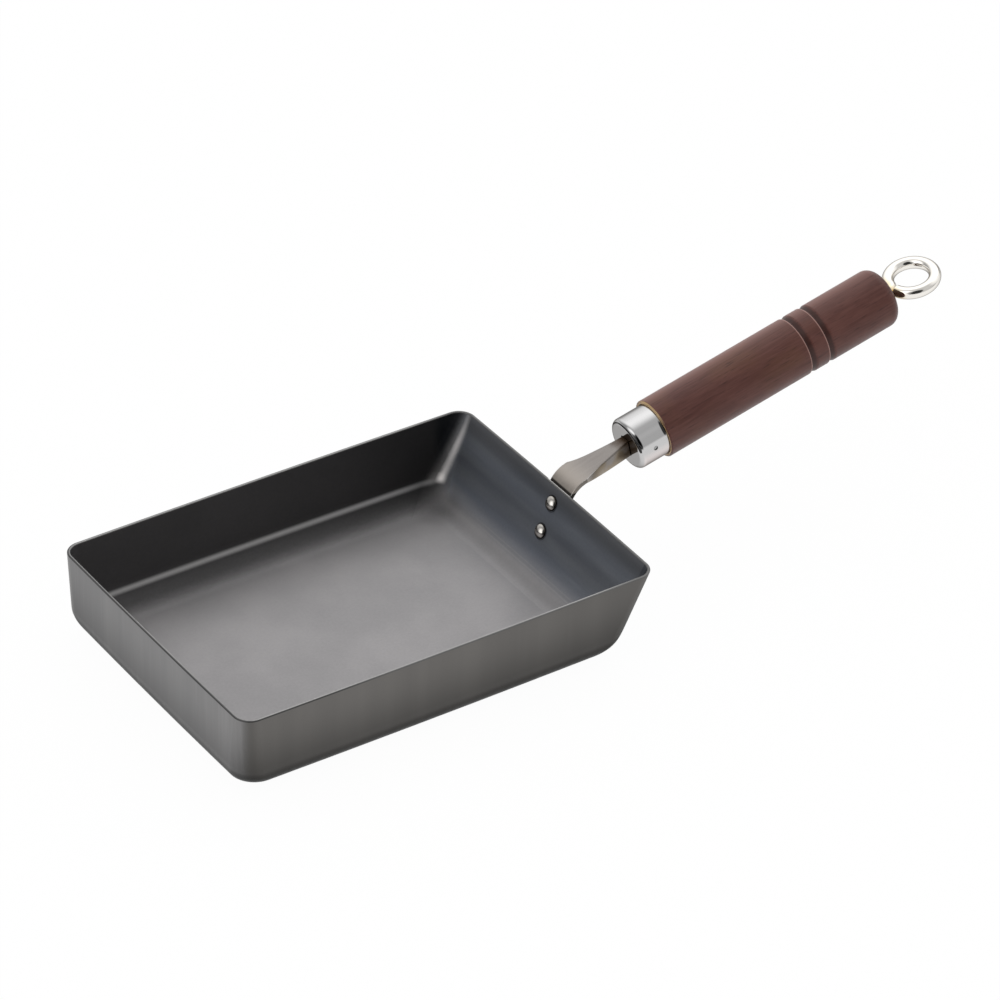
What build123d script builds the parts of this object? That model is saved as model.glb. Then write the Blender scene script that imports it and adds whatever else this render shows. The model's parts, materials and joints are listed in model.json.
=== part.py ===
"""Rectangular omelette pan: pressed iron with a riveted steel bracket and a turned handle with a hanging eye.

The origin is the point of the table under the middle of the rim. +X runs along the pan to the handle,
+Y across it, and +Z up. Lengths are in millimetres and angles in degrees.
"""

import os
from math import acos, cos, degrees, hypot, radians, sin, sqrt, tan

from build123d import *

# Pan, pressed from one iron sheet
rim_length = 182.4  # outside, over the front and handle walls
rim_width = 132.4  # outside, over the long walls
pan_height = 36.2
sheet = 1.2
floor_radius = 12.5  # outside, where the floor turns up into the walls
rim_corner = 7.0  # outside corner in plan, at the rim
floor_corner = 10.0  # the same corner where it meets the floor
side_bow = 0.5  # how far each side swells at its middle
rim_round = 0.4  # rolled-off edge of the cut rim
front_lean = 0.0
side_lean = 2.0
handle_lean = 22.5

# Handle axis, from the ferrule's front face
ferrule_reach = 31.0  # beyond the rim
ferrule_lift = 8.5  # above the rim
handle_rise = 13.1

# Bracket, bent and folded from one steel strip
strip = 2.0
strip_width = 14.0
strip_edge = 0.3  # rounding of its long edges
plate_drop = 25.0  # how far the flat plate reaches down the wall from the rim
plate_corner = 4.0
bend_radius = 12.0  # outside of the bend over the rim
bend_top = 1.8  # top face above the handle axis, at the end of the bend
tang_top = 3.5  # the same, once the strip is folded
tang_width = 4.7
tang_depth = 7.3
tang_length = 58.0  # inside the handle, from the ferrule's front
fold_round = 0.9  # outside of the folded corners
fold_root = 0.25  # half of what closes the channel's inner corners
fold_start = 0.05  # depth of the folded edges where the fold begins

# Rivets
rivet_drop = 7.2  # first rivet, down the wall from the rim
rivet_pitch = 12.2
rivet_shank = 3.2
rivet_head = 6.1
rivet_dome = 2.0  # height of the head inside the pan
rivet_tail = 1.2  # height of the formed head outside

# Ferrule, drawn from thin plate
ferrule_length = 13.1
ferrule_diameter = 21.6
ferrule_wall = 0.8
ferrule_nose = 2.1  # rounding of its front edge
slot_corner = 1.4
pin_setback = 6.8  # behind the ferrule's front
pin_lift = 1.0  # above the handle axis
pin_diameter = 1.5
pin_dimple = 0.25  # how far its ends lie below the ferrule's surface

# Wooden handle
wood_length = 112.2  # behind the ferrule
wood_diameter = 24.5
wood_shoulder = 0.5  # chamfer beside the ferrule
wood_end_radius = 4.4
groove_setback = 35.6  # lip of the rear groove, from the wood's end
groove_pitch = 8.8
groove_depth = 0.9
groove_drop = 0.3  # length of its steep front wall
groove_floor = 0.7
groove_ramp = 2.1  # length of its sloping rear wall
groove_lip = 0.12  # rounding of its lip

# Screw eye, bent from round wire
wire = 5.0
eye_radius = 9.35  # of the wire's centre line
eye_reach = 13.8  # centre of the eye, behind the wood
eye_neck = 3.0  # centre-line radius where the shank turns into the eye
eye_gap = 0.15  # between the wire's cut end and its neck
screw_length = 24.0
screw_point = 5.0  # length of the screw's cone
screw_tip = 0.6  # diameter at its point
wire_edge = 0.35  # rounding of the wire's cut end

# Clearances
seat_gap = 0.05  # between faces that are pressed together
hole_gap = 0.1  # round a pin, rivet or screw in its hole
slot_gap = 0.45  # round the tang in the ferrule
bore_gap = 0.2  # round the tang in the wood
bore_end = 3.0  # beyond the tip of the tang or screw
overrun = 2.0  # how far a cut runs past the face it opens

# Shape of the bracket's neck, and how finely the pan's floor radius is lofted
neck_shares = (0.0, 0.15, 0.4, 0.7, 1.0)
fold_power = 0.7
lift_power = 1.6
radius_steps = 6

os.makedirs("parts", exist_ok=True)

across = Vector(0, 1, 0)
handle_way = Vector(cos(radians(handle_rise)), 0, sin(radians(handle_rise)))
handle_up = Vector(-sin(radians(handle_rise)), 0, cos(radians(handle_rise)))
ferrule_front = Vector(rim_length / 2 + ferrule_reach, 0, pan_height + ferrule_lift)
handle_axis = Axis(ferrule_front, handle_way)
# Cross sections of the handle: x across the pan, y up, z towards the hanging eye
handle_plane = Plane(ferrule_front, x_dir=across, z_dir=handle_way)
# Side view of the handle: x along it, y up
handle_side = Plane(ferrule_front, x_dir=handle_way, z_dir=-across)

# The leaning wall on the centre line: up along it, out of it, and its rim
wall_up = Vector(sin(radians(handle_lean)), 0, cos(radians(handle_lean)))
wall_out = Vector(cos(radians(handle_lean)), 0, -sin(radians(handle_lean)))
wall_rim = Vector(rim_length / 2 + side_bow, 0, pan_height)
rivet_drops = (rivet_drop, rivet_drop + rivet_pitch)
pin_centre = ferrule_front + handle_way * pin_setback + handle_up * pin_lift
wood_end = ferrule_length + wood_length


def save(piece, name):
    """Labels a finished piece and writes it under its own name."""
    piece.part.label = name
    export_step(piece.part, f"parts/{name}.step")


def mix(start, end, share):
    """The value a given share of the way from start to end."""
    return start + (end - start) * share


def wall_inset(height, lean, skin):
    """How far in from the rim's outside a wall stands at a height, at a depth of skin into the sheet."""
    slope = radians(lean)
    arc = floor_radius - skin
    arc_top = floor_radius - arc * sin(slope)
    centre = floor_radius * cos(slope) + (pan_height - floor_radius + floor_radius * sin(slope)) * tan(slope)
    if height < arc_top:
        return centre - sqrt(arc**2 - (floor_radius - height) ** 2)
    return centre - arc * cos(slope) - (height - arc_top) * tan(slope)


def radius_heights(skin):
    """Heights, evenly round the floor radius, at which a face of the sheet is drawn."""
    arc = floor_radius - skin
    return [floor_radius - arc * cos(radians(90 * step / radius_steps)) for step in range(radius_steps + 1)]


def pan_outline(height, skin):
    """The plan of one face of the sheet at a height: a rectangle with bowed sides and round corners."""
    front = wall_inset(height, front_lean, skin) - rim_length / 2
    back = rim_length / 2 - wall_inset(height, handle_lean, skin)
    side = rim_width / 2 - wall_inset(height, side_lean, skin)
    middle = (front + back) / 2
    climb = (height - skin) / (pan_height - skin)
    with BuildSketch(Plane.XY.offset(height)) as outline:
        with BuildLine():
            ThreePointArc((front, -side), (middle, -side - side_bow), (back, -side))
            ThreePointArc((back, -side), (back + side_bow, 0), (back, side))
            ThreePointArc((back, side), (middle, side + side_bow), (front, side))
            ThreePointArc((front, side), (front - side_bow, 0), (front, -side))
        make_face()
        fillet(outline.vertices(), mix(floor_corner, rim_corner - skin, climb))
    return outline.sketch


def round_bar(centre, way, diameter, length, mode=Mode.ADD):
    """A round bar, or with another mode its hole, centred on a point and lying along way."""
    with BuildSketch(Plane(centre, z_dir=way)) as end:
        Circle(diameter / 2)
    extrude(end.sketch, amount=length / 2, both=True, mode=mode)


def rivet_holes():
    """Drills what it is used in for both rivets, square to the leaning wall."""
    for drop in rivet_drops:
        reach = 2 * (sheet + strip + overrun)
        round_bar(wall_rim - wall_up * drop, wall_out, rivet_shank + hole_gap, reach, Mode.SUBTRACT)


def pin_hole():
    """Drills what it is used in for the ferrule's pin, right across the handle."""
    round_bar(pin_centre, across, pin_diameter + hole_gap, wood_diameter, Mode.SUBTRACT)


def pan_face(skin, top, mode):
    """A solid up to one face of the sheet: smooth round the floor radius, and straight walls above it."""
    loft([pan_outline(height, skin) for height in radius_heights(skin)], mode=mode)
    loft([pan_outline(height, skin) for height in (floor_radius, top)], ruled=True, mode=mode)


with BuildPart() as pan_body:
    pan_face(0, pan_height, Mode.ADD)
    pan_face(sheet, pan_height + overrun, Mode.SUBTRACT)
    fillet(pan_body.faces().sort_by(Axis.Z)[-1].edges(), rim_round)
    rivet_holes()
save(pan_body, "pan_body")


def crossing(start, way, other_start, other_way):
    """Where two straight lines in the pan's middle plane meet."""
    gap = other_start - start
    run = (gap.X * other_way.Z - gap.Z * other_way.X) / (way.X * other_way.Z - way.Z * other_way.X)
    return start + way * run


# The strip's front face lies on the wall, and becomes the neck's top face after the bend
plate_face = wall_rim + wall_out * seat_gap
neck_top = ferrule_front + handle_up * bend_top
bend_turn = 90 - handle_lean - handle_rise
bend_corner = crossing(plate_face, wall_up, neck_top, handle_way)
bend_tangent = bend_radius * tan(radians(bend_turn / 2))
bend_start = bend_corner - wall_up * bend_tangent
plate_length = plate_drop + (bend_start - plate_face).dot(wall_up)
neck_length = (ferrule_front - bend_corner).dot(handle_way) - bend_tangent


def neck_section(share):
    """The folded strip at a share of the neck: its edges turn down into an ever narrower, deeper channel."""
    fold = share**fold_power
    half = mix(strip_width, tang_width, fold) / 2
    top = mix(bend_top, tang_top, share**lift_power)
    inner = top - strip
    bottom = top - mix(strip + fold_start, tang_depth, fold)
    right = [(half, top), (half, bottom), (half - strip, bottom), (half - strip - fold_root, inner)]
    left = [(-x, y) for x, y in reversed(right)]
    with BuildSketch(handle_plane.offset(-neck_length * (1 - share))) as section:
        with BuildLine():
            Polyline(*right, *left, close=True)
        make_face()
        fillet(section.vertices().group_by(Axis.Y)[-1], mix(strip_edge, fold_round, fold))
        fillet(section.vertices().group_by(Axis.Y)[0].sort_by(Axis.X)[0], strip_edge)
        fillet(section.vertices().group_by(Axis.Y)[0].sort_by(Axis.X)[-1], strip_edge)
    return section.sketch


with BuildPart() as handle_bracket:
    with BuildSketch(Plane(bend_start, x_dir=across, z_dir=wall_out)) as plate:
        Rectangle(strip_width, plate_length, align=(Align.CENTER, Align.MAX))
        fillet(plate.vertices().group_by(Axis.Y)[0], plate_corner)
    extrude(amount=strip)
    for side in (0, -1):
        rim = handle_bracket.faces().sort_by(Axis(bend_start, wall_out))[side].edges()
        fillet(rim.sort_by(Axis(bend_start, wall_up))[:-1], strip_edge)
    with BuildLine(Plane.XZ):
        JernArc(bend_start, wall_up, bend_radius, -bend_turn)
    with BuildSketch(Plane(bend_start, x_dir=across, z_dir=wall_up)) as strip_section:
        Rectangle(strip_width, strip, align=(Align.CENTER, Align.MAX))
        fillet(strip_section.vertices(), strip_edge)
    sweep()
    loft([neck_section(share) for share in neck_shares])
    extrude(neck_section(neck_shares[-1]), amount=tang_length)
    rivet_holes()
    pin_hole()
save(handle_bracket, "handle_bracket")

# Each rivet is turned about its own axis: a dome inside the pan, a shank, and a formed head outside
grip = sheet + strip + 3 * seat_gap
for drop, name in zip(rivet_drops, ("upper_rivet", "lower_rivet")):
    centre = wall_rim - wall_up * drop - wall_out * (sheet + seat_gap)
    with BuildPart() as rivet:
        with BuildSketch(Plane(centre, x_dir=wall_out, z_dir=-across)):
            with BuildLine():
                Line((-rivet_dome, 0), (grip + rivet_tail, 0))
                TangentArc((grip + rivet_tail, 0), (grip, rivet_head / 2), tangent=(0, 1))
                Polyline(
                    (grip, rivet_head / 2),
                    (grip, rivet_shank / 2),
                    (0, rivet_shank / 2),
                    (0, rivet_head / 2),
                )
                EllipticalCenterArc((0, 0), rivet_dome, rivet_head / 2, start_angle=180, arc_size=-90)
            make_face()
        revolve(axis=Axis(centre, wall_out))
    save(rivet, name)

# Ferrule: a drawn cap with its closed end to the pan, slotted for the tang
with BuildPart() as ferrule:
    with BuildSketch(handle_side) as cap:
        outer = Rectangle(ferrule_length, ferrule_diameter / 2, align=(Align.MIN, Align.MIN))
        fillet(outer.vertices().sort_by(Axis.X)[:2].sort_by(Axis.Y)[-1], ferrule_nose)
        with BuildSketch(mode=Mode.PRIVATE) as hollow:
            with Locations((ferrule_wall, 0)):
                inner_radius = ferrule_diameter / 2 - ferrule_wall
                inner = Rectangle(ferrule_length, inner_radius, align=(Align.MIN, Align.MIN))
            fillet(inner.vertices().sort_by(Axis.X)[:2].sort_by(Axis.Y)[-1], ferrule_nose - ferrule_wall)
        add(hollow.sketch, mode=Mode.SUBTRACT)
    revolve(axis=handle_axis)
    with BuildSketch(handle_plane.offset(-overrun)):
        with Locations((0, tang_top - tang_depth / 2)):
            RectangleRounded(tang_width + 2 * slot_gap, tang_depth + 2 * slot_gap, slot_corner)
    extrude(amount=ferrule_wall + 2 * overrun, mode=Mode.SUBTRACT)
    pin_hole()
save(ferrule, "ferrule")

with BuildPart() as ferrule_pin:
    pin_length = 2 * (sqrt((ferrule_diameter / 2) ** 2 - pin_lift**2) - pin_dimple)
    round_bar(pin_centre, across, pin_diameter, pin_length)
save(ferrule_pin, "ferrule_pin")

# Wooden handle, turned: a neck inside the ferrule, a shoulder against it, two grooves and a rounded end
neck_front = ferrule_wall + seat_gap
neck_radius = ferrule_diameter / 2 - ferrule_wall - seat_gap
shoulder = ferrule_length + seat_gap
bore_radius = hypot(tang_width / 2, max(tang_top, tang_depth - tang_top)) + bore_gap
with BuildPart() as wooden_handle:
    with BuildSketch(handle_side) as turning:
        with Locations((neck_front, 0)):
            neck_blank = Rectangle(shoulder - neck_front, neck_radius, align=(Align.MIN, Align.MIN))
            front_corner = neck_blank.vertices().sort_by(Axis.X)[:2].sort_by(Axis.Y)[-1]
            chamfer(front_corner, ferrule_nose - ferrule_wall)
        with Locations((shoulder, 0)):
            Rectangle(wood_end - shoulder, wood_diameter / 2, align=(Align.MIN, Align.MIN))
        corners = turning.vertices().group_by(Axis.Y)[-1].sort_by(Axis.X)
        chamfer(corners[0], wood_shoulder)
        fillet(corners[-1], wood_end_radius)
        for lip in (wood_end - groove_setback - groove_pitch, wood_end - groove_setback):
            with BuildLine():
                Polyline(
                    (lip, wood_diameter / 2),
                    (lip + groove_drop, wood_diameter / 2 - groove_depth),
                    (lip + groove_drop + groove_floor, wood_diameter / 2 - groove_depth),
                    (lip + groove_drop + groove_floor + groove_ramp, wood_diameter / 2),
                    close=True,
                )
            make_face(mode=Mode.SUBTRACT)
            fillet(turning.vertices().sort_by_distance((lip, wood_diameter / 2))[0], groove_lip)
    revolve(axis=handle_axis)
    with BuildSketch(handle_plane):
        Circle(bore_radius)
    extrude(amount=tang_length + bore_end, mode=Mode.SUBTRACT)
    with BuildSketch(handle_plane.offset(wood_end)):
        Circle((wire + hole_gap) / 2)
    extrude(amount=-(screw_length + bore_end), mode=Mode.SUBTRACT)
    pin_hole()
save(wooden_handle, "wooden_handle")

# Screw eye: the shank leaves the wood on the handle's axis, turns aside and runs round to its own neck
eye_plane = Plane(ferrule_front + handle_way * wood_end, x_dir=handle_way, z_dir=handle_up)
neck_span = eye_radius + eye_neck  # between the centres of the neck and the eye
neck_rise = eye_reach - sqrt(neck_span**2 - eye_neck**2)
neck_turn = degrees(acos(eye_neck / neck_span))
# The rim of the wire's cut end stops just clear of the neck
eye_outside = eye_radius + wire / 2
end_span = eye_neck + wire / 2 + eye_gap
eye_opening = degrees(acos((neck_span**2 + eye_outside**2 - end_span**2) / (2 * neck_span * eye_outside)))
with BuildPart() as screw_eye:
    with BuildSketch(eye_plane):
        with BuildLine():
            Polyline(
                (-screw_length, 0),
                (-screw_length, screw_tip / 2),
                (screw_point - screw_length, wire / 2),
                (neck_rise, wire / 2),
                (neck_rise, 0),
                close=True,
            )
        make_face()
    revolve(axis=handle_axis)
    with BuildLine(eye_plane):
        neck = JernArc((neck_rise, 0), (1, 0), eye_neck, neck_turn)
        JernArc(neck @ 1, neck % 1, eye_radius, eye_opening - 360)
    with BuildSketch(Plane(neck @ 0, z_dir=handle_way)):
        Circle(wire / 2)
    sweep()
    fillet(screw_eye.faces().filter_by(GeomType.PLANE).sort_by(handle_axis)[-1].edges(), wire_edge)
save(screw_eye, "screw_eye")
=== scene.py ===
"""Finish, light and camera for the rectangular omelette pan. Metres, in the pan's own frame.

+X runs along the pan to the handle, +Y across it, +Z up, and the table is at height zero.
"""

import json
from math import atan2, cos, radians, sin

import bpy
from mathutils import Matrix, Vector


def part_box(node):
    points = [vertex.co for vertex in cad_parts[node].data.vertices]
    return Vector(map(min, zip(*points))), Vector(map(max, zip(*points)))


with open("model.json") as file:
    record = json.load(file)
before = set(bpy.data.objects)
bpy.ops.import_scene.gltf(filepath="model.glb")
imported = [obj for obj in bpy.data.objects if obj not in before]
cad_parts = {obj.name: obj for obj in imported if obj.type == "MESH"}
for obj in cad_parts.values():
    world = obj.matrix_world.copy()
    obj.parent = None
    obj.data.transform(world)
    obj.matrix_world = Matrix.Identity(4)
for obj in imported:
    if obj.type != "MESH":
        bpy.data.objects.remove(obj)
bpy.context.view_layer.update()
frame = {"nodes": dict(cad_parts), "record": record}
nodes = frame["nodes"]
record = frame["record"]

MM = 0.001
RIVETS = ("upper_rivet", "lower_rivet")

# Where the handle lies, from the hanging eye's mount: its axis is square to the handle
eye = next(mount for mount in record["mounts"] if mount["name"] == "hanging_eye")
handle_up = Vector(eye["axis"])
handle_way = Vector((handle_up.z, 0, -handle_up.x))
handle_rise = atan2(handle_way.z, handle_way.x)
eye_centre = Vector(eye["pos_m"])

# Colours of the pieces and of their painted light and shade, linear
IRON = (0.340, 0.332, 0.336, 1)
IRON_LIGHT = (0.381, 0.370, 0.374, 1)
IRON_BLUED = (0.166, 0.180, 0.208, 1)
IRON_BLUED_LIGHT = (0.222, 0.236, 0.260, 1)
# The outside iron is painted darker than the inside: painted shade for the shaded table that it reflects
IRON_OUTSIDE_SHADED = (0.194, 0.192, 0.193, 1)
IRON_OUTSIDE_SHADED_LIGHT = (0.218, 0.215, 0.214, 1)
IRON_OLIVE_SHADE = (0.050, 0.036, 0.015, 1)
IRON_UNDERSIDE_SHADE = (0.62, 0.62, 0.62, 1)
IRON_CUT = (0.14, 0.139, 0.138, 1)
# The colour of painted highlights on the iron and the steel
IRON_GLINT = (0.70, 0.69, 0.68, 1)
IRON_HIGHLIGHT_LINE = (0.60, 0.595, 0.59, 1)
IRON_CORNER_HIGHLIGHT = (1.0, 0.965, 0.945, 1)
STEEL_DARK = (0.215, 0.198, 0.186, 1)
STEEL_LIGHT = (0.245, 0.226, 0.213, 1)
STEEL_ENTRY_SHADE = (0.05, 0.032, 0.02, 1)
STEEL_STRAW = (0.20, 0.165, 0.12, 1)
STEEL_BEND_LIGHT = (0.70, 0.62, 0.53, 1)
RIVET = (0.70, 0.67, 0.63, 1)
RIVET_PAINTED_SHADE = (0.035, 0.030, 0.024, 1)
PLATING = (0.560, 0.556, 0.555, 1)
PLATING_LOW_REFLECTION = (0.72, 0.67, 0.66, 1)
PLATING_EDGE = (0.25, 0.24, 0.23, 1)
PIN = (0.35, 0.35, 0.35, 1)
NICKEL = (0.88, 0.85, 0.80, 1)
NICKEL_WARM_REFLECTION = (0.80, 0.66, 0.42, 1)
WOOD_DARK = (0.082, 0.028, 0.022, 1)
WOOD_LIGHT = (0.114, 0.043, 0.034, 1)
WOOD_FIBRE = (0.140, 0.058, 0.047, 1)
WOOD_AMBER = (0.130, 0.056, 0.028, 1)
WOOD_PORE = (0.030, 0.011, 0.009, 1)
WOOD_WORN_LIP_HIGHLIGHT = (0.50, 0.30, 0.26, 1)
WOOD_TOP_LIGHT = (0.24, 0.11, 0.09, 1)
WOOD_BARE = (0.50, 0.34, 0.17, 1)
WHITE = (1, 1, 1, 1)
BLACK = (0, 0, 0, 1)

# Where the wood's finish and its painted light and shade change
LIP_SETBACKS = (44.4 * MM, 35.6 * MM)  # the grooves' lips, from the wood's rear end
# Half width of the painted highlight on each worn lip
LIP_HIGHLIGHT_HALF = 0.5 * MM
GROOVE = (0.1 * MM, 0.5 * MM, 1.9 * MM, 3.0 * MM)  # behind a lip: where its painted shade begins, is full, fades and ends
SHOULDER_BARE = 0.6 * MM
BARE_RADIUS = 11.5 * MM  # of the bare ring, where it shows least
SEAM_RADIUS = 11.0 * MM  # of the dark line between the ferrule and the bare ring
END_DARK = (1.2 * MM, 0.4 * MM)  # before the wood's rear end, where its dark edge begins and is full
WOOD_TOP = (0.0, 0.62, 0.78)  # the side of the handle that gets painted light

# Painted light and shade inside the pan: pairs of place and level, with places in millimetres
LONG_WALL_RUN = ((-90, 1.05), (-40, 1.0), (10, 0.95), (50, 0.75), (90, 0.45))
HANDLE_WALL_LEVELS = (
    (1.2, 0.98), (1.5, 0.74), (2.6, 0.67), (3.8, 0.88), (5.5, 1.02), (7.5, 1.56), (9.5, 1.48),
    (12.5, 1.20), (15.0, 1.00), (18.0, 0.92), (21.5, 0.80), (25.0, 1.14), (28.0, 1.04), (30.5, 0.72),
    (33.0, 0.44), (36.2, 0.58),
)
HANDLE_WALL_RUN = ((-66, 1.03), (-20, 1.0), (15, 0.97), (40, 0.84), (66, 0.72))
FLOOR_RUN = ((-91, 0.76), (-76, 0.88), (-64, 0.99), (-40, 1.0), (40, 1.01), (58, 1.06), (91, 1.0))
FLOOR_LEVELS = ((-30, 0.95), (-10, 1.0), (5, 1.03), (25, 1.12), (40, 1.24), (60, 1.26))
CORNER_LEVELS = (
    (7.2, 0.0), (7.8, 0.0), (8.4, 0.0), (9.2, 0.62), (10.1, 1.0), (11.0, 0.95), (12.5, 0.66),
    (15.0, 0.50), (18.0, 0.50), (22.0, 0.56), (26.0, 0.54), (29.0, 0.40), (32.0, 0.28), (36.2, 0.16),
)

# Painted light and shade on the outside, and painted highlights along the rim, in the same pairs
NEAR_WALL_LEVELS = ((-90, 1.0), (-30, 1.0), (40, 0.90), (90, 0.82))
LEFT_WALL_RUN = ((-66, 0.95), (-20, 0.99), (25, 0.93), (66, 0.86))
RIM_GLINTS = ((-66, 0.30), (-42, 0.26), (-25, 0.48), (-8, 0.58), (8, 0.46), (22, 0.28), (66, 0.30))

# Painted light and shade by how far a surface faces along the pan's width, from 0 to 1, and by a corner's
# turn in degrees
LONG_WALL_LEVELS = (
    (0.0, 1.0), (0.12, 0.86), (0.24, 0.62), (0.38, 0.38), (0.53, 0.25), (0.66, 0.20), (0.80, 0.22),
    (1.0, 0.24),
)
NEAR_CORNER_LEVELS = ((0, 1.0), (22, 1.04), (38, 0.90), (52, 0.78), (64, 0.76), (76, 0.90), (90, 1.0))

# Where each of the bracket's finishes, painted lights and painted shades begins and is full
BRACKET_FOOT = (0.7 * MM, 0.2 * MM)  # above the rim, for the painted shadow where the strip rises out of the pan
BRACKET_BEND_LIGHT = (7 * MM, 2 * MM)  # above the rim, for the painted light on the bend
BRACKET_ENTRY_SHADE = (-3 * MM, 5 * MM)  # along the handle, from the ferrule's front
BRACKET_BEND = (-14 * MM, -20 * MM)  # along the pan, from the ferrule's front, for the painted shade and highlight on the bend's sides
BRACKET_RAGGED = 10 * MM  # how far the painted shade's dark brown edge wanders

# Where the pan's finish and its painted light and shade change
HEAT = (17 * MM, 11 * MM)  # before the handle's end of the rim, where the blue begins and is full
HANDLE_END = (26 * MM, 19 * MM)  # the same for the light that the handle's wall shows
# The painted highlight line along the far wall's turn into the floor: its height, half width and fades
HIGHLIGHT_LINE_HEIGHT = 8.75 * MM
HIGHLIGHT_LINE_HALF = 1.7 * MM
HIGHLIGHT_LINE_FADES = (58 * MM, 72 * MM)  # along the pan
FAINT_LINES = (5.9 * MM, 4.7 * MM)  # heights of two faint painted highlight lines, where the handle's wall turns into the floor
FAINT_HALF = 0.4 * MM
FAINT_FADES = (50 * MM, 20 * MM)  # across the pan
FAINT_LEVEL = 0.09
# The painted highlight streak in the far corner at the handle
CORNER_TURN = (10, 0.83, 30, 1.24)  # two heights in millimetres, each with the streak's turn there
CORNER_HALF = 0.36
CORNER_SKIRT = (-0.18, 0.62, 0.27)  # softer light beside the streak: its turn from it, half and level
CORNER_FOOT = (71 * MM, 55 * MM, 2 * MM)  # the shaded place where the streak meets the floor
CORNER_FOOT_REACH = (1 * MM, 14 * MM)  # from that place, where its shade is full and ends
CORNER_FOOT_LEVEL = 0.66
SIDE_BOW = 0.5 * MM  # of each side of the rim, as in the part
RIM_CORNER = 7 * MM  # radius of the rim's corners, as in the part
RIM_DEPTH = (0.5 * MM, 0.2 * MM)  # below the top, where the cut edge's colour begins and is full
RIM_CORNER_LIT = 0.42
RIM_CORNER_BAND = (-60 * MM, -65 * MM)  # across the pan, where the near corner's level begins and is full
RIM_LIT_BAND = (0.85 * MM, 0.55 * MM)  # inwards from the rim: the middle and half of the painted highlight
RIM_LIT_FADES = (60 * MM, 85 * MM)  # along the pan
RIM_DARK_BAND = (0.55 * MM, 0.3 * MM)  # inwards from the rim, where the dark outer line begins and is full
RIM_DARK_FADES = (-20 * MM, -60 * MM)  # along the pan
RIM_BRACKET_BAND = (0.25 * MM, 0.45 * MM)  # inwards from the rim: the middle and half of the bracket's glint
RIM_HANDLE_BAND = (80 * MM, 85 * MM)  # along the pan, where the handle's side of the rim begins and is full
RIVET_RING = 0.25 * MM  # the dark ring round each head
EYE_MARKS = (-10.5 * MM, -8.0 * MM)  # from the eye's centre, where the tool's marks and the warm painted reflection are full and end

# Sides of the rivets' heads that get painted shade: out of the wall, up the wall, and away from the light
WALL_FACING = (-0.924, 0.0, 0.383)
WALL_UP = (0.383, 0.0, 0.924)
RIVET_SHADED = (-0.365, 0.301, -0.881)

# The room's light by direction: a level all round, and soft lobes added to it
ROOM = 0.40
LOBES = (
    # towards, outer and inner angle, level
    ((0.254, 0.698, 0.669), 60, 15, 0.90),
    ((-0.875, -0.235, 0.423), 45, 12, 1.25),
    ((0.842, -0.103, 0.530), 45, 10, 0.65),
    ((0.180, -0.847, 0.350), 40, 10, 0.22),
    ((0.100, 0.000, 1.000), 60, 10, 0.24),
    ((-0.520, -0.730, 0.440), 33, 18, -1.20),
    ((0.919, 0.353, 0.174), 18, 5, -0.45),
)
DARKEST = 0.03
HORIZON = 0.85
HORIZON_BAND = (0.03, 0.10)  # sines of the heights at which it begins to fade and is gone
FLOOR_GLOW = 0.97  # share of the floor's own colour in what the eye and bright metal see


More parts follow.
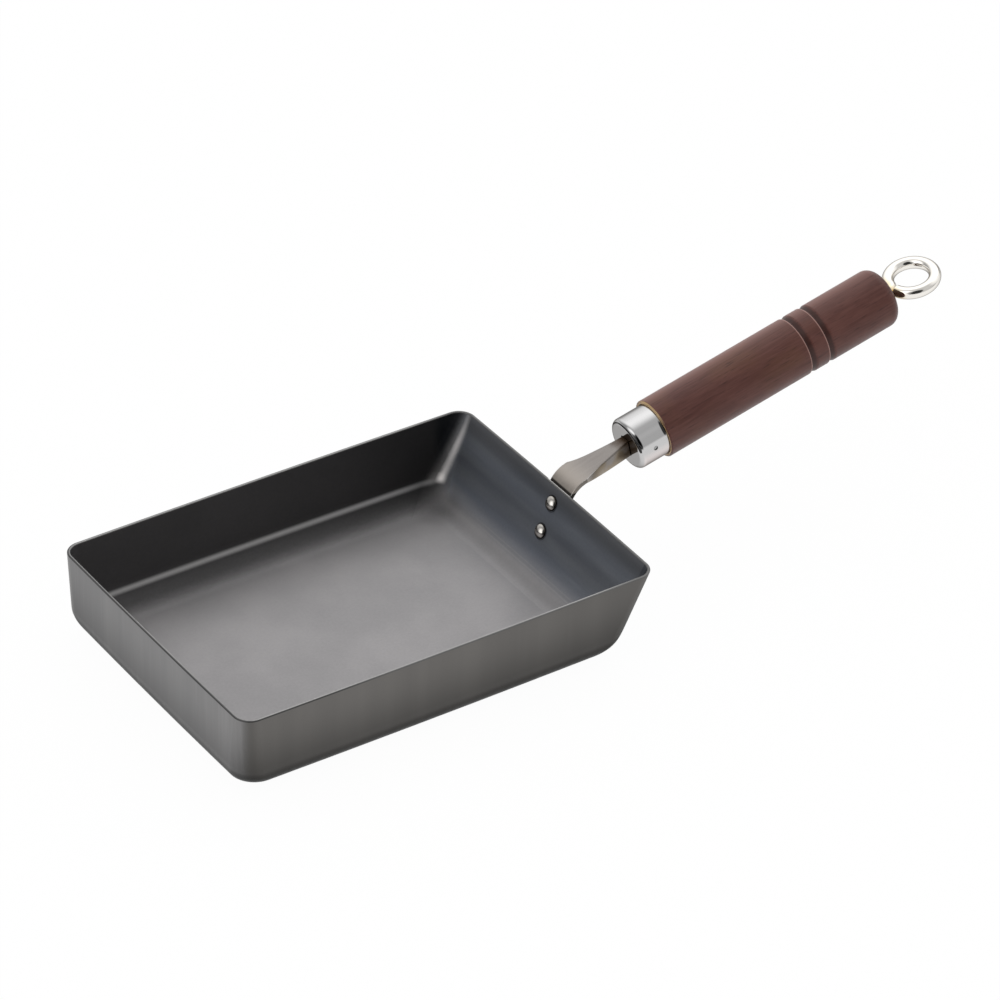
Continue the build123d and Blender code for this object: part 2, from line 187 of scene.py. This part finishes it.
class Graph:
    """A node tree, with one short method for each kind of node that the finishes and the room use."""

    def __init__(self, tree):
        self.nodes = tree.nodes
        self.links = tree.links

    def node(self, kind, settings=None, **inputs):
        """Adds a node, sets its settings, and sets or links each named input."""
        made = self.nodes.new(kind)
        for setting, value in (settings or {}).items():
            setattr(made, setting, value)
        for name, value in inputs.items():
            self.feed(made.inputs[name.replace("_", " ")], value)
        return made

    def feed(self, socket, value):
        """Links an output to an input, or sets the input to a plain value."""
        if isinstance(value, bpy.types.NodeSocket):
            self.links.new(value, socket)
        else:
            socket.default_value = value

    def coordinate(self, name):
        """One of the texture coordinates."""
        return self.node("ShaderNodeTexCoord").outputs[name]

    def vector(self, operation, first, second=(0, 0, 0)):
        """One step of vector arithmetic."""
        made = self.node("ShaderNodeVectorMath", {"operation": operation})
        self.feed(made.inputs[0], first)
        self.feed(made.inputs["Scale" if operation == "SCALE" else 1], second)
        return made.outputs["Value" if operation in ("DOT_PRODUCT", "LENGTH") else "Vector"]

    def sum(self, operation, first, second=0.0, third=0.0):
        """One step of arithmetic."""
        made = self.node("ShaderNodeMath", {"operation": operation})
        for socket, value in zip(made.inputs, (first, second, third)):
            self.feed(socket, value)
        return made.outputs["Value"]

    def product(self, first, *others):
        """Multiplies numbers."""
        for other in others:
            first = self.sum("MULTIPLY", first, other)
        return first

    def mixed(self, share, first, second):
        """A number that goes from the first to the second with a share from 0 to 1."""
        return self.sum("MULTIPLY_ADD", share, self.sum("SUBTRACT", second, first), first)

    def split(self, vector):
        """The three parts of a vector."""
        return self.node("ShaderNodeSeparateXYZ", Vector=vector).outputs

    def stretched(self, vector, scale, centre=(0, 0, 0), turn=(0, 0, 0)):
        """A vector brought to a centre and a turn, then scaled on each axis."""
        places = {"Vector": vector, "Location": centre, "Rotation": turn}
        home = self.node("ShaderNodeMapping", {"vector_type": "TEXTURE"}, **places)
        return self.node("ShaderNodeMapping", Vector=home.outputs["Vector"], Scale=scale).outputs["Vector"]

    def noise(self, vector, scale, detail=3.0, roughness=0.5, distortion=0.0):
        """Smooth noise from 0 to 1."""
        numbers = {"Scale": scale, "Detail": detail, "Roughness": roughness, "Distortion": distortion}
        return self.node("ShaderNodeTexNoise", Vector=vector, **numbers).outputs["Fac"]

    def ramp(self, value, low, high, start=0.0, end=1.0):
        """Maps low..high smoothly to start..end, and holds it beyond."""
        ends = {"From_Min": low, "From_Max": high, "To_Min": start, "To_Max": end}
        made = self.node("ShaderNodeMapRange", {"interpolation_type": "SMOOTHSTEP"}, Value=value, **ends)
        return made.outputs["Result"]

    def profile(self, value, stops):
        """Follows a level from stop to stop, given as pairs of value and level, levels up to 2."""
        low, high = stops[0][0], stops[-1][0]
        share = self.sum("DIVIDE", self.sum("SUBTRACT", value, low), high - low)
        made = self.node("ShaderNodeValToRGB", Fac=share)
        made.color_ramp.interpolation = "B_SPLINE"
        points = made.color_ramp.elements
        while len(points) < len(stops):
            points.new(1.0)
        for point, (place, level) in zip(points, stops):
            point.position = (place - low) / (high - low)
            point.color = (level / 2, level / 2, level / 2, 1)
        return self.sum("MULTIPLY", made.outputs["Color"], 2.0)

    def run(self, value, stops):
        """The same for stops whose places are in millimetres."""
        return self.profile(value, [(place * MM, level) for place, level in stops])

    def blend(self, share, first, second):
        """Mixes two colours."""
        made = self.node("ShaderNodeMix", {"data_type": "RGBA"})
        self.feed(made.inputs["Factor"], share)
        self.feed(made.inputs[6], first)
        self.feed(made.inputs[7], second)
        return made.outputs[2]

    def near(self, value, middle, half):
        """1 where a value is at a middle, falling smoothly to 0 a half away."""
        return self.ramp(self.sum("ABSOLUTE", self.sum("SUBTRACT", value, middle)), half, 0.0)


class Finish(Graph):
    """A material and its graph."""

    def __init__(self, name):
        self.material = bpy.data.materials.new(name)
        self.material.use_nodes = True
        super().__init__(self.material.node_tree)
        self.shader = self.nodes["Principled BSDF"]
        self.place = self.coordinate("Object")
        self.facing = self.coordinate("Normal")

    def along_handle(self):
        """How far a point lies along the handle, from the eye's centre."""
        return self.vector("DOT_PRODUCT", self.vector("SUBTRACT", self.place, eye_centre), handle_way)

    def facing_to(self, way):
        """How far the surface faces a way, from -1 to 1."""
        return self.vector("DOT_PRODUCT", self.facing, way)

    def distance(self, centre):
        """How far a point lies from a centre."""
        return self.vector("LENGTH", self.vector("SUBTRACT", self.place, centre))

    def bump(self, height, strength, distance):
        """Tilts the surface by a height map, and gives it to the shader."""
        made = self.node("ShaderNodeBump", Height=height, Strength=strength, Distance=distance)
        self.feed(self.shader.inputs["Normal"], made.outputs["Normal"])

    def done(self, **inputs):
        """Sets the shader's inputs, by name with underscores for spaces."""
        for name, value in inputs.items():
            self.feed(self.shader.inputs[name.replace("_", " ")], value)
        return self.material


def reach(node):
    """Where a piece begins and ends along the handle, from the eye's centre."""
    spans = [(vertex.co - eye_centre).dot(handle_way) for vertex in nodes[node].data.vertices]
    return min(spans), max(spans)


def rivet_head(node):
    """The middle of the base of a rivet's inner head, and the head's radius."""
    radius = max(vertex.co.y for vertex in nodes[node].data.vertices)
    sides = [vertex.co for vertex in nodes[node].data.vertices if vertex.co.y > radius * 0.999]
    side = min(sides, key=lambda place: place.x)
    return Vector((side.x, 0, side.z)), radius


def inward_distance(graph, high):
    """How far inside the pan's rim a point lies, in plan: a rectangle with bowed sides and round corners."""
    part = graph.split(graph.place)
    halves = (high.x - SIDE_BOW, high.y - SIDE_BOW)
    bows = []
    for own, other in ((0, 1), (1, 0)):
        along = graph.sum("DIVIDE", part[other], halves[other])
        straight = halves[own] + SIDE_BOW - RIM_CORNER
        bows.append(graph.sum("MULTIPLY_ADD", graph.product(along, along), -SIDE_BOW, straight))
    size = graph.node("ShaderNodeCombineXYZ", X=bows[0], Y=bows[1]).outputs["Vector"]
    flat = graph.vector("MULTIPLY", graph.place, (1, 1, 0))
    beyond = graph.vector("SUBTRACT", graph.vector("ABSOLUTE", flat), size)
    corner = graph.vector("LENGTH", graph.vector("MAXIMUM", beyond))
    both = graph.split(beyond)
    side = graph.sum("MINIMUM", graph.sum("MAXIMUM", both["X"], both["Y"]), 0.0)
    return graph.sum("SUBTRACT", RIM_CORNER, graph.sum("ADD", corner, side))


def inside_light(graph, high):
    """Painted light and shade on the walls and the floor inside, as levels that are multiplied."""
    part = graph.split(graph.place)
    facing = graph.split(graph.facing)
    sideways = graph.sum("ABSOLUTE", facing["Y"])
    long_wall = graph.ramp(sideways, 0.5, 0.9)
    level_floor = graph.ramp(facing["Z"], 0.3, 0.9)
    above_floor = graph.ramp(part["Z"], 3 * MM, 5 * MM)
    handle_run = graph.mixed(above_floor, 1.0, graph.run(part["Y"], HANDLE_WALL_RUN))
    handle_wall = graph.product(graph.run(part["Z"], HANDLE_WALL_LEVELS), handle_run)
    return graph.product(
        graph.profile(sideways, LONG_WALL_LEVELS),
        graph.mixed(long_wall, 1.0, graph.run(part["X"], LONG_WALL_RUN)),
        graph.mixed(level_floor, 1.0, graph.run(part["X"], FLOOR_RUN)),
        graph.run(part["Y"], FLOOR_LEVELS),
        graph.mixed(handle_end(graph, high), 1.0, handle_wall),
        graph.ramp(graph.distance(CORNER_FOOT), *CORNER_FOOT_REACH, CORNER_FOOT_LEVEL, 1.0),
    )


def handle_end(graph, high):
    """1 on the handle's wall and on its turn into the floor, and 0 on the rest of the pan."""
    along = graph.split(graph.place)["X"]
    sideways = graph.sum("ABSOLUTE", graph.split(graph.facing)["Y"])
    along_end = graph.ramp(along, *(high.x - setback for setback in HANDLE_END))
    return graph.product(along_end, graph.ramp(sideways, 0.35, 0.1))


def corner_highlight_streak(graph):
    """The painted highlight streak up the inside of the far corner at the handle, with softer painted light
    beside it.
    """
    height = graph.split(graph.place)["Z"]
    away = graph.split(graph.vector("SCALE", graph.facing, -1.0))
    turn = graph.sum("ARCTAN2", away["X"], away["Y"])
    low_height, low_turn, high_height, high_turn = CORNER_TURN
    climb = (high_turn - low_turn) / (high_height - low_height) / MM
    streak_turn = graph.sum("MULTIPLY_ADD", graph.sum("SUBTRACT", height, low_height * MM), climb, low_turn)
    beside = graph.sum("SUBTRACT", turn, streak_turn)
    skirt_turn, skirt_half, skirt_level = CORNER_SKIRT
    skirt = graph.product(graph.near(beside, skirt_turn, skirt_half), skirt_level)
    streak = graph.sum("MAXIMUM", graph.near(beside, 0.0, CORNER_HALF), skirt)
    return graph.product(streak, graph.run(height, CORNER_LEVELS))


def inside_of_pan(graph, high):
    """Satin grey iron, blued at the handle's wall, with painted light and shade, painted highlight lines and
    a painted highlight streak in its bends, and rings at the rivets.
    """
    part = graph.split(graph.place)
    far_side = graph.split(graph.facing)["Y"]
    cloud = graph.noise(graph.place, 28.0, 4.0, 0.55)
    across = graph.noise(graph.stretched(graph.place, (1, 0.12, 1)), 95.0, 3.0, 0.5)
    colour = graph.blend(graph.ramp(cloud, 0.35, 0.7), IRON, IRON_LIGHT)
    blued = graph.blend(graph.ramp(across, 0.35, 0.68), IRON_BLUED, IRON_BLUED_LIGHT)
    heat = graph.ramp(part["X"], *(high.x - setback for setback in HEAT))
    colour = graph.blend(heat, colour, blued)
    # Painted light and shade, as multiplied levels
    colour = graph.vector("SCALE", colour, inside_light(graph, high))

    # Painted highlight: a bright line along the far wall's turn into the floor
    line = graph.product(
        graph.near(part["Z"], HIGHLIGHT_LINE_HEIGHT, HIGHLIGHT_LINE_HALF),
        graph.ramp(far_side, -0.45, -0.72),
        graph.ramp(far_side, -0.6, -0.88),
        graph.ramp(part["X"], *HIGHLIGHT_LINE_FADES, 1.0, 0.6),
    )
    colour = graph.blend(line, colour, IRON_HIGHLIGHT_LINE)
    colour = graph.blend(corner_highlight_streak(graph), colour, IRON_CORNER_HIGHLIGHT)
    # Two faint painted highlight lines on the handle's wall
    faintness = graph.product(handle_end(graph, high), graph.ramp(part["Y"], *FAINT_FADES), FAINT_LEVEL)
    for height in FAINT_LINES:
        faint = graph.product(graph.near(part["Z"], height, FAINT_HALF), faintness)
        colour = graph.blend(faint, colour, IRON_GLINT)
    for rivet in RIVETS:
        centre, head = rivet_head(rivet)
        ring = graph.near(graph.distance(centre), head + RIVET_RING, RIVET_RING)
        colour = graph.blend(graph.product(ring, 0.8), colour, BLACK)
    return colour


def outside_of_pan(graph, high, marks):
    """Iron painted darker than the inside, warmer, with upright scratches, painted shade towards the table
    and underneath, painted light and shade by side and corner, and an olive painted shade on the near side.
    """
    part = graph.split(graph.place)
    facing = graph.split(graph.facing)
    bands = graph.noise(graph.stretched(graph.place, (1, 1, 0.05)), 60.0, 3.0, 0.5)
    colour = graph.blend(graph.ramp(bands, 0.35, 0.7), IRON_OUTSIDE_SHADED, IRON_OUTSIDE_SHADED_LIGHT)
    fewer = graph.ramp(graph.sum("ABSOLUTE", facing["Y"]), 0.9, 0.5, 0.3, 1.0)
    scratches = graph.product(graph.ramp(marks, 0.42, 0.72, 0.0, 0.20), fewer)
    colour = graph.blend(scratches, colour, IRON_LIGHT)
    # Painted shade: the near side darker and warmer
    near_side_shade = graph.ramp(facing["Y"], -0.5, -0.95, 0.0, 0.34)
    colour = graph.blend(near_side_shade, colour, IRON_OLIVE_SHADE)

    left_side = graph.ramp(facing["X"], -0.5, -0.95)
    away = graph.split(graph.vector("SCALE", graph.facing, -1.0))
    near_turn = graph.sum("ARCTAN2", away["Y"], away["X"])
    # Painted light and shade by side, by corner and by place along the walls
    levels = (
        graph.mixed(left_side, 1.0, graph.run(part["Y"], LEFT_WALL_RUN)),
        graph.profile(near_turn, [(radians(degrees), level) for degrees, level in NEAR_CORNER_LEVELS]),
        graph.run(part["X"], NEAR_WALL_LEVELS),
    )
    colour = graph.vector("SCALE", colour, graph.product(*levels))
    # Painted shade: darker towards the table, and on surfaces that face down
    foot_shade = graph.ramp(part["Z"], high.z * 0.95, high.z * 0.05, 0.0, 0.58)
    colour = graph.blend(foot_shade, colour, BLACK)
    underside_shade = graph.ramp(facing["Z"], -0.10, -0.55, 0.0, 0.5)
    return graph.blend(underside_shade, colour, BLACK)


def cut_rim(graph, high, colour):
    """Adds the sheet's cut edge: dull, with a dark outer line at the left and painted highlights."""
    part = graph.split(graph.place)
    rim = graph.ramp(part["Z"], *(high.z - depth for depth in RIM_DEPTH))
    colour = graph.blend(rim, colour, IRON_CUT)
    inwards = inward_distance(graph, high)

    # Painted highlights along the rim
    near_corner = graph.ramp(part["Y"], *RIM_CORNER_BAND)
    lit = graph.mixed(near_corner, graph.run(part["Y"], RIM_GLINTS), RIM_CORNER_LIT)
    before_handle = graph.ramp(part["X"], *RIM_LIT_FADES, 1.0, 0.0)
    lit = graph.product(rim, lit, before_handle, graph.near(inwards, *RIM_LIT_BAND))
    colour = graph.blend(lit, colour, IRON_GLINT)

    dark = graph.ramp(part["X"], *RIM_DARK_FADES, 0.0, 0.5)
    dark = graph.product(rim, dark, graph.ramp(inwards, *RIM_DARK_BAND))
    colour = graph.blend(dark, colour, BLACK)

    # A painted highlight on the rim beside the bracket
    bracket_high = Vector(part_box("handle_bracket")[1])
    glint = graph.ramp(graph.sum("ABSOLUTE", part["Y"]), bracket_high.y + 1 * MM, bracket_high.y)
    at_handle = graph.ramp(part["X"], *RIM_HANDLE_BAND)
    glint = graph.product(rim, glint, at_handle, graph.near(inwards, *RIM_BRACKET_BAND))
    return graph.blend(glint, colour, IRON_GLINT)


def pan_iron():
    """Lacquered iron sheet: satin grey inside, warmer and more marked outside, with a cut rim that carries
    painted highlights.
    """
    graph = Finish("pan_iron")
    low, high = (Vector(corner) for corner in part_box("pan_body"))
    from_middle = graph.vector("SUBTRACT", graph.place, (low + high) / 2)
    outside = graph.ramp(graph.vector("DOT_PRODUCT", from_middle, graph.facing), -2 * MM, 2 * MM)
    speckle = graph.noise(graph.place, 900.0, 4.0, 0.6)
    marks = graph.noise(graph.stretched(graph.place, (1, 1, 0.03)), 420.0, 5.0, 0.6)
    colour = graph.blend(outside, inside_of_pan(graph, high), outside_of_pan(graph, high, marks))
    colour = cut_rim(graph, high, colour)

    inside_rough = graph.ramp(speckle, 0.3, 0.7, 0.58, 0.64)
    outside_rough = graph.ramp(marks, 0.3, 0.7, 0.34, 0.42)
    rough = graph.mixed(outside, inside_rough, outside_rough)
    graph.bump(graph.mixed(outside, speckle, marks), 0.06, 0.2 * MM)
    # Painted shade: a darker reflection tint on the outside's downward faces
    turned_down_shade = graph.product(outside, graph.ramp(graph.split(graph.facing)["Z"], -0.05, -0.3))
    edge = graph.blend(turned_down_shade, WHITE, IRON_UNDERSIDE_SHADE)
    return graph.done(Base_Color=colour, Metallic=1.0, Roughness=rough, Specular_Tint=edge)


def bracket_steel():
    """Satin rolled steel with brush marks along the strip, dark brown painted shade where it enters the
    ferrule, and painted light, shade and highlights at the rim and the bend.
    """
    graph = Finish("bracket_steel")
    along = graph.stretched(graph.place, (0.06, 1, 1), (0, 0, 0), (0, -handle_rise, 0))
    marks = graph.noise(along, 900.0, 4.0, 0.6)
    cloud = graph.noise(graph.place, 160.0, 3.0, 0.5)
    colour = graph.blend(graph.ramp(marks, 0.3, 0.7), STEEL_DARK, STEEL_LIGHT)
    sideways = graph.sum("ABSOLUTE", graph.split(graph.facing)["Y"])
    straw = graph.product(graph.ramp(sideways, 0.3, 0.9), graph.ramp(cloud, 0.35, 0.6))
    colour = graph.blend(straw, colour, STEEL_STRAW)

    # Painted shade: dark brown, with a ragged edge, where the strip enters the ferrule
    entry = reach("ferrule")[0]
    ragged = graph.sum("MULTIPLY_ADD", cloud, BRACKET_RAGGED, graph.along_handle())
    entry_shade = graph.ramp(ragged, *(entry + behind for behind in BRACKET_ENTRY_SHADE))
    colour = graph.blend(entry_shade, colour, STEEL_ENTRY_SHADE)

    rim_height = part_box("pan_body")[1][2]
    part = graph.split(graph.place)
    # Painted light: the bend just above the rim lighter and warmer
    bend_light = graph.ramp(part["Z"], *(rim_height + above for above in BRACKET_BEND_LIGHT), 0.0, 0.28)
    colour = graph.blend(bend_light, colour, STEEL_BEND_LIGHT)
    # Painted shadow: a dark line where the strip rises above the rim
    foot_shade = graph.ramp(part["Z"], *(rim_height + above for above in BRACKET_FOOT), 0.0, 0.9)
    colour = graph.blend(foot_shade, colour, BLACK)

    # Painted shade on the bend's sides, and a painted highlight along their rounded edges
    entry_x = (eye_centre + handle_way * entry).x
    bend = graph.ramp(part["X"], *(entry_x + behind for behind in BRACKET_BEND))
    side_dark = graph.product(graph.ramp(sideways, 0.9, 0.99, 0.0, 0.5), bend)
    colour = graph.blend(side_dark, colour, BLACK)
    edge = graph.product(graph.near(sideways, 0.65, 0.3), bend, 0.8)
    colour = graph.blend(edge, colour, IRON_GLINT)
    graph.bump(marks, 0.04, 0.15 * MM)
    return graph.done(Base_Color=colour, Metallic=1.0, Roughness=graph.ramp(marks, 0.3, 0.7, 0.30, 0.38))


def rivet_steel():
    """Bright rivets, faintly dimpled by the setting tool, with painted shade round the foot, on the top and
    on one side.
    """
    graph = Finish("rivet_steel")
    cloud = graph.noise(graph.place, 700.0, 3.0, 0.5)
    # Painted shade and painted dark reflection on the heads
    foot_shade = graph.ramp(graph.facing_to(WALL_FACING), 0.62, 0.44, 0.0, 0.95)
    shaded = graph.ramp(graph.facing_to(Vector(RIVET_SHADED).normalized()), 0.16, 0.40, 0.0, 0.93)
    top = graph.ramp(graph.facing_to(WALL_UP), 0.2, 0.55, 0.0, 0.5)
    colour = RIVET
    for dark in (foot_shade, shaded, top):
        colour = graph.blend(dark, colour, RIVET_PAINTED_SHADE)
    graph.bump(cloud, 0.1, 0.1 * MM)
    return graph.done(Base_Color=colour, Metallic=1.0, Roughness=graph.ramp(cloud, 0.3, 0.7, 0.16, 0.24))


def ferrule_plating():
    """Polished plating on the ferrule, with painted dark reflections along its rounded edges and on its far
    side, and a warmer painted reflection on its lower side.
    """
    graph = Finish("ferrule_plating")
    starts, ends = reach("ferrule")
    place = graph.along_handle()
    sideways = graph.split(graph.facing)["Y"]
    upwards = graph.facing_to(handle_up)
    forwards = graph.facing_to(-handle_way)
    # Painted reflection: warmer on the lower side
    low_side_reflection = graph.product(graph.ramp(upwards, 0.15, -0.25), graph.ramp(forwards, 0.7, 0.3))
    colour = graph.blend(low_side_reflection, PLATING, PLATING_LOW_REFLECTION)

    # Painted dark reflections along the rounded edges and on the far side
    upper_edge = graph.product(graph.near(forwards, 0.86, 0.13), graph.ramp(upwards, 0.08, 0.25))
    front_band = graph.near(place, starts + 1.2 * MM, 1.2 * MM)
    lower_edge = graph.ramp(graph.product(front_band, graph.near(upwards, 0.50, 0.34)), 0.15, 0.5)
    lower_edge = graph.product(lower_edge, graph.ramp(sideways, 0.0, -0.3))
    rear_band = graph.near(place, ends - 0.7 * MM, 1.1 * MM)
    rear_edge = graph.ramp(graph.product(rear_band, graph.near(upwards, 0.58, 0.36)), 0.15, 0.5)
    for edge in (upper_edge, lower_edge, rear_edge):
        colour = graph.blend(graph.product(edge, 0.92), colour, BLACK)
    colour = graph.blend(graph.ramp(sideways, 0.5, 0.68, 0.0, 0.6), colour, BLACK)

    pin_low, pin_high = (Vector(corner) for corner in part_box("ferrule_pin"))
    from_pin = graph.vector("SUBTRACT", graph.place, (pin_low + pin_high) / 2)
    from_axis = graph.vector("LENGTH", graph.vector("MULTIPLY", from_pin, (1, 0, 1)))
    ring = graph.near(from_axis, (pin_high.x - pin_low.x) / 2, 0.4 * MM)
    colour = graph.blend(graph.product(ring, 0.7), colour, BLACK)
    graph.bump(graph.noise(graph.place, 90.0, 2.0, 0.4), 0.03, 0.2 * MM)
    return graph.done(Base_Color=colour, Metallic=1.0, Roughness=0.07, Specular_Tint=PLATING_EDGE)


def eye_plating():
    """Bright nickel, with the tool's marks and a warm painted reflection where the eye's wire meets its
    shank.
    """
    graph = Finish("eye_plating")
    lumps = graph.noise(graph.place, 900.0, 2.0, 0.5)
    waves = graph.noise(graph.place, 90.0, 2.0, 0.4)
    full, end = EYE_MARKS
    shank = graph.ramp(graph.along_handle(), end, full)
    height = graph.sum("MULTIPLY_ADD", lumps, graph.product(shank, 8.0), graph.product(waves, 0.6))
    graph.bump(height, 0.05, 0.2 * MM)
    # Painted reflection: warm brown near the shank
    colour = graph.blend(graph.product(shank, 0.8), NICKEL, NICKEL_WARM_REFLECTION)
    return graph.done(Base_Color=colour, Metallic=1.0, Roughness=0.1, Specular_Tint=PLATING_EDGE)


def pin_steel():
    """Polished steel with a trace of handling marks."""
    graph = Finish("pin_steel")
    cloud = graph.noise(graph.place, 160.0, 4.0, 0.6)
    graph.bump(graph.noise(graph.place, 90.0, 2.0, 0.4), 0.03, 0.2 * MM)
    rough = graph.ramp(cloud, 0.35, 0.75, 0.2, 0.25)
    return graph.done(Base_Color=PIN, Metallic=1.0, Roughness=rough, Specular_Tint=PLATING_EDGE)


def handle_wood():
    """Red-brown stained wood, with fine grain and pores along the handle, and painted light on top."""
    graph = Finish("handle_wood")
    along = graph.stretched(graph.place, (1, 1, 1), eye_centre, (0, -handle_rise, 0))
    fibres = graph.noise(graph.stretched(along, (0.06, 1, 1)), 900.0, 5.0, 0.7, 0.2)
    pores = graph.noise(graph.stretched(along, (0.08, 1, 1)), 1900.0, 2.0, 0.5)
    figure = graph.noise(graph.stretched(along, (0.26, 1, 1)), 130.0, 3.0, 0.5, 0.8)
    patches = graph.noise(graph.stretched(along, (0.5, 1, 1)), 60.0, 2.0, 0.5)
    colour = graph.blend(graph.ramp(figure, 0.3, 0.7), WOOD_DARK, WOOD_LIGHT)
    colour = graph.blend(graph.ramp(patches, 0.48, 0.68, 0.0, 0.45), colour, WOOD_AMBER)
    colour = graph.blend(graph.ramp(fibres, 0.4, 0.7, 0.0, 0.6), colour, WOOD_FIBRE)
    dark = graph.ramp(pores, 0.58, 0.72, 0.0, 0.5)
    colour = graph.blend(dark, colour, WOOD_PORE)
    # Painted light on the handle's top
    colour = graph.blend(graph.ramp(graph.facing_to(WOOD_TOP), 0.72, 0.97, 0.0, 0.6), colour, WOOD_TOP_LIGHT)
    colour = wood_wear_and_painted_light(graph, colour)

    height = graph.sum("SUBTRACT", graph.product(fibres, 0.4), dark)
    graph.bump(height, 0.25, 0.15 * MM)
    rough = graph.ramp(fibres, 0.3, 0.7, 0.34, 0.46)
    return graph.done(Base_Color=colour, Roughness=rough, Specular_IOR_Level=0.27)


def wood_wear_and_painted_light(graph, colour):
    """Adds painted shade in the grooves and a painted highlight on their worn lips, the bare ring and seam at
    the ferrule, and the dark rear edge.
    """
    rear = reach("wooden_handle")[1]
    shoulder = reach("ferrule")[1]
    place = graph.along_handle()
    # Painted shade in each groove, and a painted highlight on its worn lip
    for setback in LIP_SETBACKS:
        starts, full, fades, ends = (rear - setback + behind for behind in GROOVE)
        shade = graph.sum("MINIMUM", graph.ramp(place, starts, full), graph.ramp(place, ends, fades))
        colour = graph.blend(graph.product(shade, 0.75), colour, WOOD_PORE)
        lip_highlight = graph.near(place, rear - setback, LIP_HIGHLIGHT_HALF)
        colour = graph.blend(graph.product(lip_highlight, 0.9), colour, WOOD_WORN_LIP_HIGHLIGHT)

    around = graph.vector("SUBTRACT", graph.place, eye_centre)
    distance_squared = graph.vector("DOT_PRODUCT", around, around)
    radius = graph.sum("SQRT", graph.sum("SUBTRACT", distance_squared, graph.product(place, place)))
    upwards = graph.sum("DIVIDE", graph.vector("DOT_PRODUCT", around, handle_up), radius)
    at_shoulder = graph.ramp(place, shoulder + SHOULDER_BARE, shoulder + SHOULDER_BARE / 2)
    narrow = graph.ramp(radius, BARE_RADIUS + 0.2 * MM, BARE_RADIUS)
    bare = graph.product(at_shoulder, graph.sum("MAXIMUM", narrow, graph.ramp(upwards, 0.6, 0.95)))
    colour = graph.blend(bare, colour, WOOD_BARE)
    seam = graph.ramp(radius, SEAM_RADIUS + 0.1 * MM, SEAM_RADIUS - 0.1 * MM, 0.0, 0.8)
    colour = graph.blend(graph.product(seam, at_shoulder), colour, WOOD_PORE)
    rear_dark = graph.ramp(place, *(rear - setback for setback in END_DARK), 0.0, 0.9)
    return graph.blend(rear_dark, colour, WOOD_PORE)


def plain_stage(name, colour):
    """The floor: matt, and near its own colour to the eye and to bright metal, with the pan's shadow kept."""
    graph = Finish(name)
    matt = graph.node("ShaderNodeBsdfDiffuse", Color=colour)
    glow = graph.node("ShaderNodeEmission", Color=colour, Strength=1.0)
    ray = graph.node("ShaderNodeLightPath").outputs
    seen = graph.sum("ADD", ray["Is Camera Ray"], ray["Is Glossy Ray"])
    seen = graph.sum("ADD", seen, ray["Is Transmission Ray"])
    mixed = graph.node("ShaderNodeMixShader")
    graph.feed(mixed.inputs[0], graph.sum("MULTIPLY", seen, FLOOR_GLOW))
    graph.feed(mixed.inputs[1], matt.outputs["BSDF"])
    graph.feed(mixed.inputs[2], glow.outputs["Emission"])
    graph.feed(graph.nodes["Material Output"].inputs["Surface"], mixed.outputs["Shader"])
    return graph.material


def dress(node, material):
    """Gives a piece its finish."""
    nodes[node].data.materials.clear()
    nodes[node].data.materials.append(material)


dress("pan_body", pan_iron())
dress("handle_bracket", bracket_steel())
rivet_finish = rivet_steel()
for rivet in RIVETS:
    dress(rivet, rivet_finish)
dress("ferrule", ferrule_plating())
dress("ferrule_pin", pin_steel())
dress("wooden_handle", handle_wood())
dress("screw_eye", eye_plating())

# Stage: one wide floor at table height
bpy.ops.object.select_all(action="DESELECT")
bpy.ops.mesh.primitive_plane_add(size=12, location=(0, 0, 0))
floor = bpy.context.active_object
floor.name = "floor"
floor.data.materials.append(plain_stage("floor_white", WHITE))


def room():
    """Lights the pan from all round, by direction alone, with a pale band at the horizon."""
    world = bpy.data.worlds.new("room")
    bpy.context.scene.world = world
    world.use_nodes = True
    graph = Graph(world.node_tree)
    way = graph.coordinate("Generated")
    light = ROOM
    for towards, outer, inner, level in LOBES:
        facing = graph.vector("DOT_PRODUCT", way, Vector(towards).normalized())
        lobe = graph.ramp(facing, cos(radians(outer)), cos(radians(inner)), 0.0, level)
        light = graph.sum("ADD", lobe, light)
    light = graph.sum("MAXIMUM", light, DARKEST)
    height = graph.sum("ABSOLUTE", graph.split(way)["Z"])
    fading = graph.ramp(height, *HORIZON_BAND)
    light = graph.sum("MULTIPLY_ADD", fading, graph.sum("SUBTRACT", light, HORIZON), HORIZON)
    graph.feed(graph.nodes["Background"].inputs["Strength"], light)
    graph.feed(graph.nodes["Background"].inputs["Color"], WHITE)


room()

# Camera, fitted to the photograph
AZIMUTH = radians(34.3548)
ELEVATION = radians(34.4505)
ROLL = radians(1.3596)
DISTANCE = 2167.35 * MM
LOOKED_AT = Vector((96.913 * MM, 48.123 * MM, 0))
SENSOR = 36.0
FOCAL_SHARE = 5.49395  # focal length over the picture's width
HALF_PIXEL = 0.0005


def camera():
    """Looks from the pan's near left, with the photograph's slight roll."""
    towards = Vector((-sin(AZIMUTH) * cos(ELEVATION), -cos(AZIMUTH) * cos(ELEVATION), sin(ELEVATION)))
    level = Vector((cos(AZIMUTH), -sin(AZIMUTH), 0))
    upright = towards.cross(level)
    right = cos(ROLL) * level + sin(ROLL) * upright
    up = cos(ROLL) * upright - sin(ROLL) * level
    lens = bpy.data.cameras.new("camera")
    lens.sensor_width = SENSOR
    lens.lens = SENSOR * FOCAL_SHARE
    lens.shift_x = -HALF_PIXEL
    lens.shift_y = HALF_PIXEL
    lens.clip_end = 50
    holder = bpy.data.objects.new("camera", lens)
    turn = Matrix((right, up, towards)).transposed()
    holder.matrix_world = Matrix.Translation(LOOKED_AT + towards * DISTANCE) @ turn.to_4x4()
    bpy.context.collection.objects.link(holder)
    bpy.context.scene.camera = holder


camera()
bpy.context.scene.view_settings.view_transform = "Standard"
